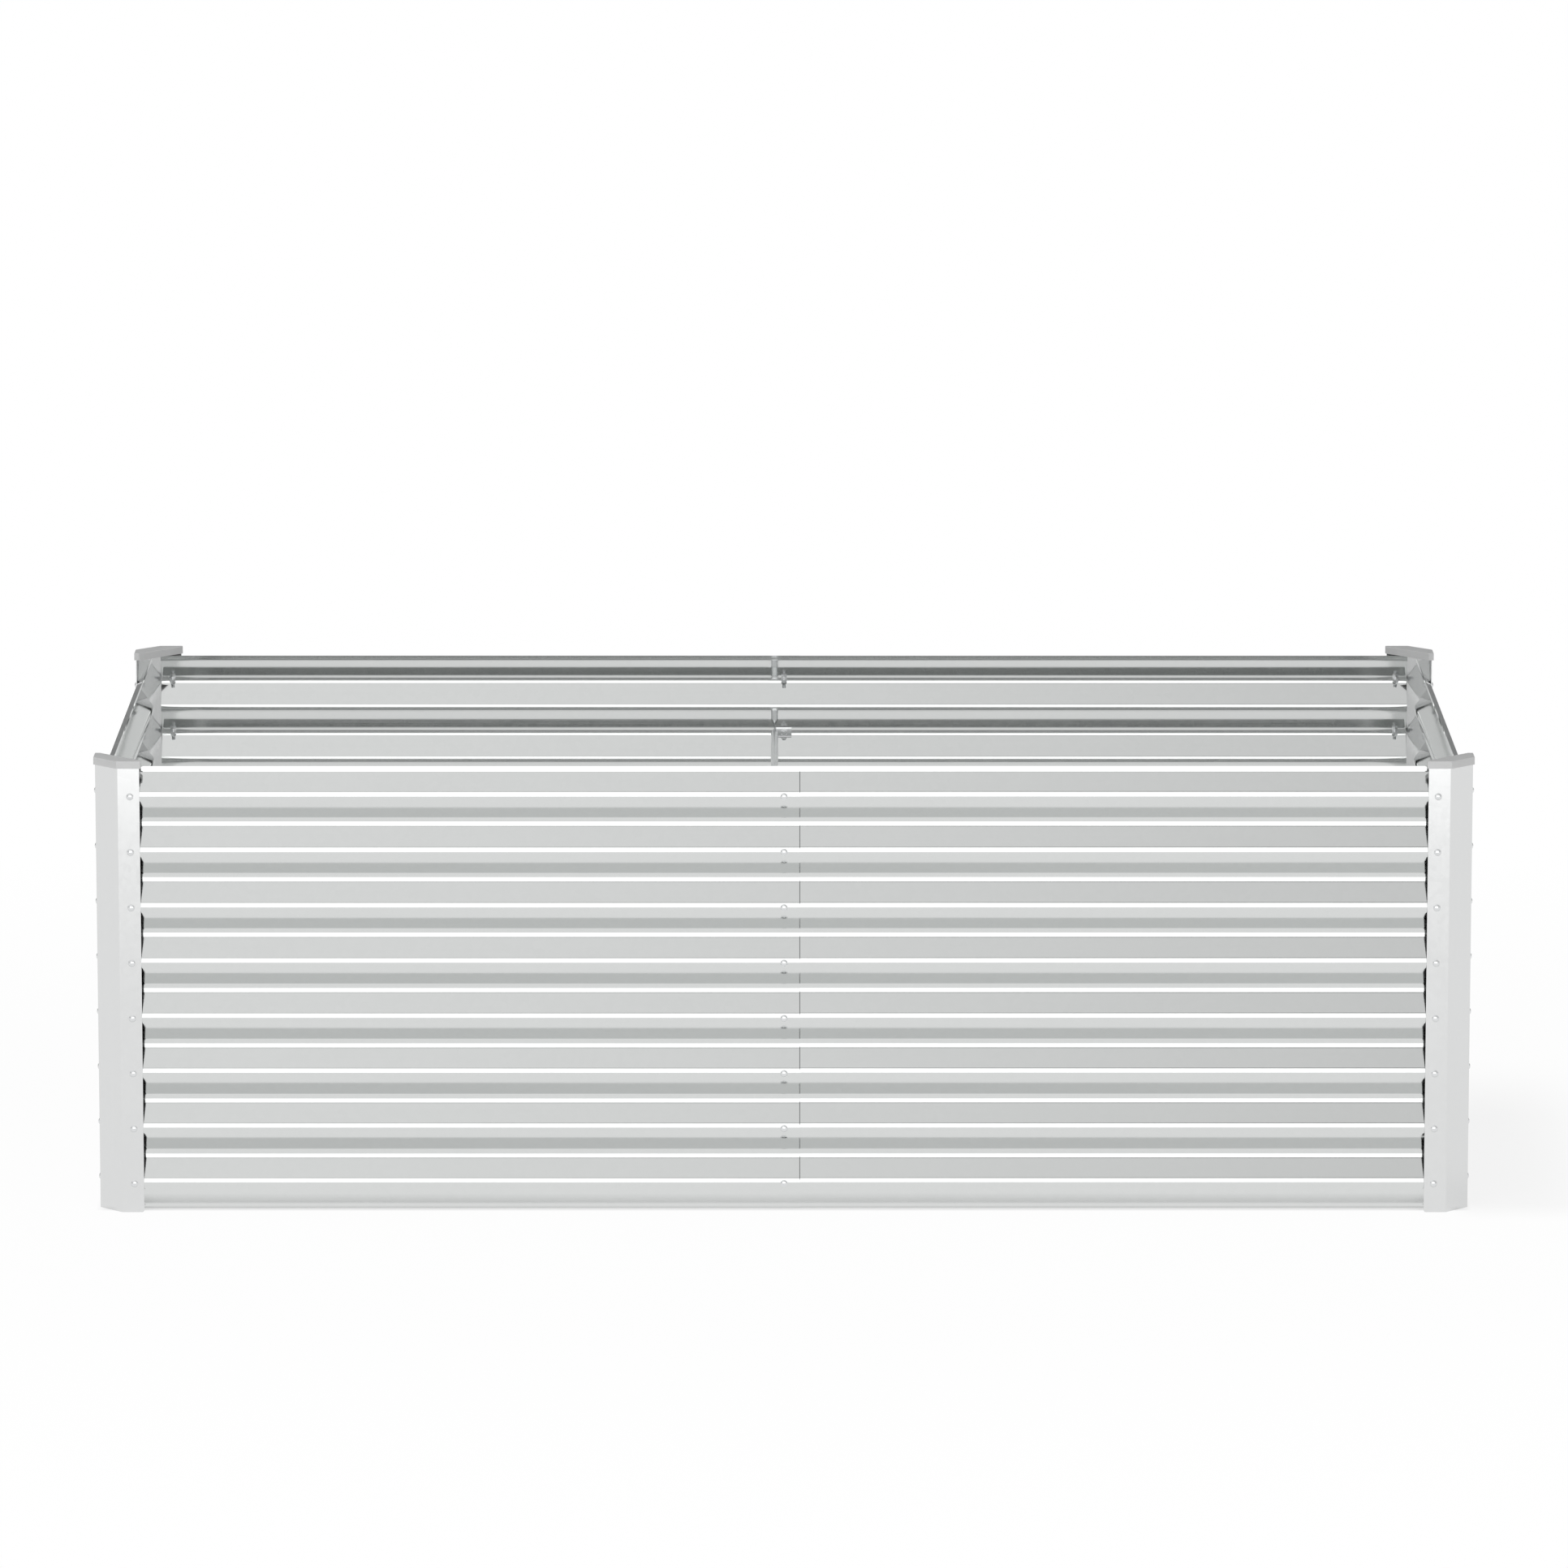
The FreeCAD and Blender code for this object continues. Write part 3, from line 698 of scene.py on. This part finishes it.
def moulded_plastic():
    """Matt grey plastic from a mould with a fine grain, faintly uneven in tone."""
    finish = Finish("grey_moulded_plastic")
    place = finish.node("ShaderNodeTexCoord", {}, {}, "Object")
    grain = finish.node("ShaderNodeTexNoise", {}, {"Vector": place, "Scale": 1400.0, "Detail": 2.0})
    clouds = finish.node("ShaderNodeTexNoise", {}, {"Vector": place, "Scale": 45.0, "Detail": 4.0})
    tone = clouds * 0.7 + grain * 0.3
    colour = finish.blend(tone, plastic_dark, plastic_light)
    bump = finish.node("ShaderNodeBump", {}, {"Height": grain, "Strength": 0.25, "Distance": 0.0001})
    return finish.surface(finish.node("ShaderNodeBsdfPrincipled", {}, {
        "Base Color": colour, "Roughness": grain * 0.1 + 0.45, "Normal": bump}))


plastic = moulded_plastic()
for name, node, in_x, in_y in (("right_front_cap", "post_cap_front_right", True, False),
                               ("left_back_cap", "post_cap_back_left", False, True),
                               ("right_back_cap", "post_cap_back_right", True, True)):
    copy = placed_copy(cap, name, mirror_x=in_x, mirror_y=in_y)
    fit_out(copy, plastic, "grey_plastic", node)
cap.name = "left_front_cap"
fit_out(cap, plastic, "grey_plastic", "post_cap_front_left")


# ------------------------------------------------------------------ the bolts
# Domed bolts, 5 mm thick and 12 mm long, hold the panels to the posts, and to each other at the
# seam in the middle. Cold-headed steel with a rolled thread and a bright zinc coat.

def turned(name, steps, sides=32):
    """A closed round solid about Z. Each step gives a radius and a height, from one end to the other."""
    bpy.ops.mesh.primitive_circle_add(vertices=sides, radius=steps[0][0], fill_type="NGON",
                                      location=(0, 0, steps[0][1]))
    piece = added()
    piece.name = name
    bpy.ops.object.transform_apply(location=True, rotation=True, scale=True)
    bpy.ops.object.mode_set(mode="EDIT")
    bpy.ops.mesh.select_all(action="SELECT")
    for (radius, height), (next_radius, next_height) in zip(steps, steps[1:]):
        extrude(0, 0, next_height - height)
        ratio = next_radius / radius
        bpy.ops.transform.resize(value=(ratio, ratio, 1), center_override=(0, 0, next_height))
    bpy.ops.mesh.select_all(action="SELECT")
    bpy.ops.mesh.normals_make_consistent(inside=False)
    bpy.ops.object.mode_set(mode="OBJECT")
    return piece


def tighten(template, node, rows, turn, proud, material):
    """One joined piece of copies of a fastener that points up, turned outward into their places."""
    low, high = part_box(node)
    place = (low + high) / 2
    outward = Vector((math.sin(math.radians(turn)), -math.cos(math.radians(turn)), 0))
    reach = max(outward.dot(low - place), outward.dot(high - place))
    seat = place + outward * (reach - proud)
    copies = []
    for row in rows:
        copy = template.copy()
        copy.data = template.data.copy()
        bpy.context.scene.collection.objects.link(copy)
        copy.location = (seat.x, seat.y, left_panel_box[0].z + row)
        copy.rotation_euler = (math.radians(90), 0, math.radians(turn))
        copies.append(copy)
    bpy.ops.object.select_all(action="DESELECT")
    for copy in copies:
        copy.select_set(True)
    bpy.context.view_layer.objects.active = copies[0]
    if len(copies) > 1:
        bpy.ops.object.join()
    piece = bpy.context.view_layer.objects.active
    bpy.ops.object.transform_apply(location=True, rotation=True, scale=True)
    piece.name = template.name + "_" + node
    fit_out(piece, material, "bright_zinc_fasteners", node)


def zinc_plate(name, rough):
    """Bright zinc on small steel parts, a little uneven, with faint marks from the tumbling."""
    finish = Finish(name)
    place = finish.node("ShaderNodeTexCoord", {}, {}, "Object")
    marks = finish.node("ShaderNodeTexNoise", {}, {"Vector": place, "Scale": 900.0, "Detail": 3.0})
    clouds = finish.node("ShaderNodeTexNoise", {}, {"Vector": place, "Scale": 220.0, "Detail": 2.0})
    tone = clouds * 0.6 + marks * 0.4
    colour = finish.blend(tone, plate_zinc_dark, plate_zinc_light)
    bump = finish.node("ShaderNodeBump", {}, {"Height": marks, "Strength": 0.1, "Distance": 0.0001})
    return finish.surface(finish.node("ShaderNodeBsdfPrincipled", {}, {
        "Base Color": colour, "Metallic": 1.0, "Roughness": clouds * 0.1 + rough, "Normal": bump}))


head_radius = 0.0047
head_height = 0.0027
head_rim = 0.0004
shank_radius = 0.0025
shank_length = 0.012
thread_pitch = 0.0008
thread_depth = 0.0003
shank_chamfer = 0.0005
dome_rise = head_height - head_rim
dome_radius = (head_radius ** 2 + dome_rise ** 2) / (2 * dome_rise)
dome_angle = math.asin(head_radius / dome_radius)
dome_steps = 10
dome_tip = head_radius / 40     # of the small flat that closes the dome
head_chamfer = head_rim / 4
thread_turns = 13
plate_zinc_dark = (0.66, 0.672, 0.68, 1)
plate_zinc_light = (0.76, 0.768, 0.77, 1)

bolt_steps = [(shank_radius - shank_chamfer, -shank_length), (shank_radius, shank_chamfer - shank_length)]
for turn in range(thread_turns):
    root = shank_chamfer - shank_length + thread_pitch * (turn + 0.5)
    bolt_steps += [(shank_radius - thread_depth, root), (shank_radius, root + thread_pitch / 2)]
bolt_steps += [(shank_radius, 0), (head_radius - head_chamfer, 0), (head_radius, head_chamfer)]
for step in range(dome_steps):
    lean = dome_angle * (1 - step / dome_steps)
    bolt_steps.append((dome_radius * math.sin(lean), head_height - dome_radius * (1 - math.cos(lean))))
bolt_steps.append((dome_tip, head_height))
bolt = turned("domed", bolt_steps)
smooth(bolt, 40)

fastener_zinc = zinc_plate("bright_zinc", 0.12)
brace_row = min(bolt_rows, key=lambda row: abs(row + left_panel_box[0].z - centre("brace_nut_front").z))
seam_rows = [row for row in bolt_rows if row != brace_row]
corners = (("front_left", 0, -90), ("front_right", 0, 90), ("back_left", 180, -90), ("back_right", 180, 90))
for place, wall_turn, end_turn in corners:
    tighten(bolt, "wall_bolts_" + place, bolt_rows, wall_turn, head_height, fastener_zinc)
    tighten(bolt, "end_bolts_" + place, bolt_rows, end_turn, head_height, fastener_zinc)
for place, wall_turn in (("front", 0), ("back", 180)):
    tighten(bolt, "seam_bolts_" + place, seam_rows, wall_turn, head_height, fastener_zinc)
    tighten(bolt, "brace_bolt_" + place, [brace_row], wall_turn, head_height, fastener_zinc)
bpy.data.objects.remove(bolt)


# ------------------------------------------------------------------ the nuts
# A hexagon nut, 8 mm across, is turned on to each bolt inside the bed, all with a corner up. Pressed
# steel, bored, with both faces chamfered round and the same bright zinc coat.

nut_across = 0.008
nut_height = 0.004
nut_face_radius = 0.0037
nut_bore_play = 0.00005
nut_bore_radius = shank_radius + nut_bore_play
sink = 0.0003                   # depth of the small cone at each end of the bore
nut_corner = nut_across / math.sqrt(3)
nut_drop = (nut_corner - nut_face_radius) * math.tan(math.radians(30))

bpy.ops.mesh.primitive_cylinder_add(vertices=6, radius=nut_corner, depth=nut_height,
                                    location=(0, 0, -nut_height / 2))
nut = added()
nut.name = "hexagon"
bpy.ops.object.transform_apply(location=True, rotation=True, scale=True)
blank = turned("blank", [(nut_face_radius, -nut_height), (nut_corner, nut_drop - nut_height),
                         (nut_corner, -nut_drop), (nut_face_radius, 0)], 64)
modify(nut, "BOOLEAN", operation="INTERSECT", solver="EXACT", object=blank)
bpy.data.objects.remove(blank)
bore = turned("bore", [(nut_bore_radius + 2 * sink, -nut_height - sink),
                       (nut_bore_radius, sink - nut_height),
                       (nut_bore_radius, -sink), (nut_bore_radius + 2 * sink, sink)])
modify(nut, "BOOLEAN", operation="DIFFERENCE", solver="EXACT", object=bore)
bpy.data.objects.remove(bore)
smooth(nut)
for place, wall_turn, end_turn in corners:
    tighten(nut, "wall_nuts_" + place, bolt_rows, wall_turn, 0, fastener_zinc)
    tighten(nut, "end_nuts_" + place, bolt_rows, end_turn, 0, fastener_zinc)
for place, wall_turn in (("front", 0), ("back", 180)):
    tighten(nut, "seam_nuts_" + place, seam_rows, wall_turn, 0, fastener_zinc)
    tighten(nut, "brace_nut_" + place, [brace_row], wall_turn, 0, fastener_zinc)
bpy.data.objects.remove(nut)


# ------------------------------------------------------------------ the cross brace
# A zinc-plated steel tube, 10 mm thick, ties the long walls together at the seam. Its ends are
# pressed flat, bent aside and punched, which leaves a crease along the top beside each bend.

brace_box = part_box("cross_brace")
tube_radius = 0.005
flat_half_thickness = 0.00115
flat_half_height = (brace_box[1].z - brace_box[0].z) / 2
bend_radius = 0.00315           # of the bend's middle line
taper_length = 0.009
taper_steps = 10
tab_start = -0.0103             # along X, from the bolt
bend_steps = 10
crease_length = 0.09
crease_steps = 10
crease_depth = 0.0008
crease_left = -0.25             # its sides, in shares of the tube's half width
crease_right = 0.45

tube_line = Vector((tab_start - bend_radius, 0, centre("cross_brace").z))
bend_depth = brace_box[0].y + flat_half_thickness + bend_radius
bpy.ops.mesh.primitive_circle_add(vertices=32, radius=tube_radius, location=tube_line,
                                  rotation=(math.radians(90), 0, 0))
brace = added()
brace.name = "brace"
bpy.ops.object.transform_apply(location=True, rotation=True, scale=True)
bpy.ops.object.mode_set(mode="EDIT")
pick("EDGE", lambda middle, along: True)
depth = bend_depth + taper_length + crease_length
extrude(0, depth, 0)


def press_top(along, amount, half_width):
    """Presses the top of the ring at this place down, a little to the right of its middle."""
    pick("VERT", lambda co, normal: abs(co.y - along) < touching and co.z > tube_line.z
         and crease_left < (co.x - tube_line.x) / half_width < crease_right)
    bpy.ops.transform.translate(value=(0, 0, -amount))
    pick("VERT", lambda co, normal: abs(co.y - along) < touching)
    bpy.ops.mesh.select_mode(type="EDGE")


crease = 0
for step in range(crease_steps):
    depth -= crease_length / crease_steps
    extrude(0, -crease_length / crease_steps, 0)
    deeper = crease_depth * ((step + 1) / crease_steps) ** 2 - crease
    press_top(depth, deeper, tube_radius)
    crease += deeper
width, height = tube_radius, tube_radius
for step in range(taper_steps):
    done = (step + 1) / taper_steps
    eased = done * done * (3 - 2 * done)
    next_width = tube_radius + (flat_half_thickness - tube_radius) * eased
    next_height = tube_radius + (flat_half_height - tube_radius) * eased
    depth -= taper_length / taper_steps
    extrude(0, -taper_length / taper_steps, 0)
    bpy.ops.transform.resize(value=(next_width / width, 1, next_height / height),
                             center_override=(tube_line.x, depth, tube_line.z))
    left = crease * next_height / height
    crease = crease_depth * (1 - done)
    press_top(depth, crease - left, next_width)
    width, height = next_width, next_height
bpy.ops.mesh.spin(steps=bend_steps, angle=math.radians(-90), axis=(0, 0, 1),
                  center=(tab_start, depth, 0))
extrude(brace_box[1].x - tab_start, 0, 0)
bpy.ops.mesh.edge_face_add()
bpy.ops.mesh.select_all(action="SELECT")
bpy.ops.mesh.remove_doubles(threshold=1e-6)
bpy.ops.mesh.normals_make_consistent(inside=False)
bpy.ops.object.mode_set(mode="OBJECT")
modify(brace, "MIRROR", use_axis=(False, True, False), use_clip=True, merge_threshold=1e-5)
tab_holes = [(0, side * brace_box[1].y, tube_line.z) for side in (-1, 1)]
drill(brace, (0, 1, 0), tab_holes, hole_radius, length=0.012)
smooth(brace, 40)
brace.name = "bent_tube"
fit_out(brace, zinc_plate("zinc_plated_tube", 0.2), "zinc_plated_tube", "cross_brace")
